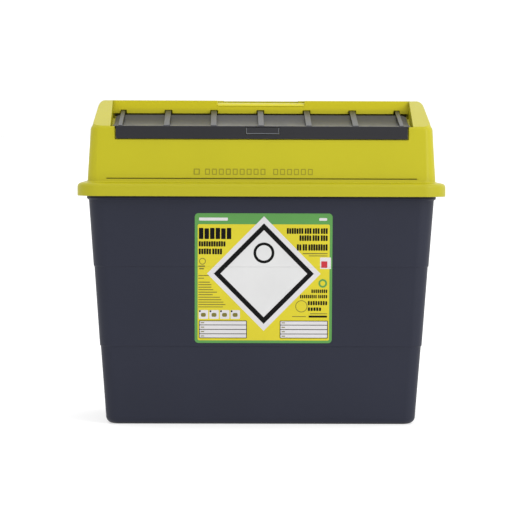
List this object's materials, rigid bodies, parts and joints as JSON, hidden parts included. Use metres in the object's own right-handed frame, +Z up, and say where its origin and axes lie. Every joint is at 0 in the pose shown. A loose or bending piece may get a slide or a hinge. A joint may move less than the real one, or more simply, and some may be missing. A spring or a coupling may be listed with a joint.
{
  "type": "sharps container",
  "caption": "Tapered plastic sharps container: dark tub, push-on lid with a hand grip and a sloping recess, and a ribbed hatch hinged at the back of the recess.",
  "frame": {"origin": "centre of the footprint, on the surface that the tub stands on", "axes": "+X to the right along the long side, +Y to the back, +Z up; the label and the hatch's lip face -Y"},
  "size_m": [0.44, 0.26, 0.39],
  "materials": {
    "tub_plastic": "fine satin moulded polypropylene, slate grey",
    "lid_plastic": "smooth moulded polypropylene, green-yellow",
    "hatch_plastic": "smooth moulded polypropylene, dark grey",
    "label_print": "printed film, yellow field with a green border and plain white panels"
  },
  "bodies": {
    "tub": {"container_body": "tub_plastic", "front_label": "label_print"},
    "lid": {"lid_shell": "lid_plastic", "hinge_bar": "lid_plastic"},
    "hatch": {"hatch_panel": "hatch_plastic", "hatch_rib_1": "hatch_plastic", "hatch_rib_2": "hatch_plastic", "hatch_rib_3": "hatch_plastic", "hatch_rib_4": "hatch_plastic", "hatch_rib_5": "hatch_plastic", "hatch_rib_6": "hatch_plastic", "hatch_rib_7": "hatch_plastic"},
    "latch": {"latch_tab": "hatch_plastic"}
  },
  "joints": [
    {"name": "lid_lift", "type": "slide", "parent": "tub", "child": "lid", "axis": [0, 0, 1], "range_m": [0, 0.12]},
    {"name": "hatch_hinge", "type": "hinge", "parent": "lid", "child": "hatch", "pos_m": [0, -0.024, 0.3675], "axis": [-1, 0, 0], "range_deg": [0, 105]},
    {"name": "latch_press", "type": "hinge", "parent": "hatch", "child": "latch", "pos_m": [0.0008, -0.1153, 0.3572], "axis": [1, 0, 0], "range_deg": [0, 8], "stiffness_Nm_per_rad": 0.6}
  ]
}
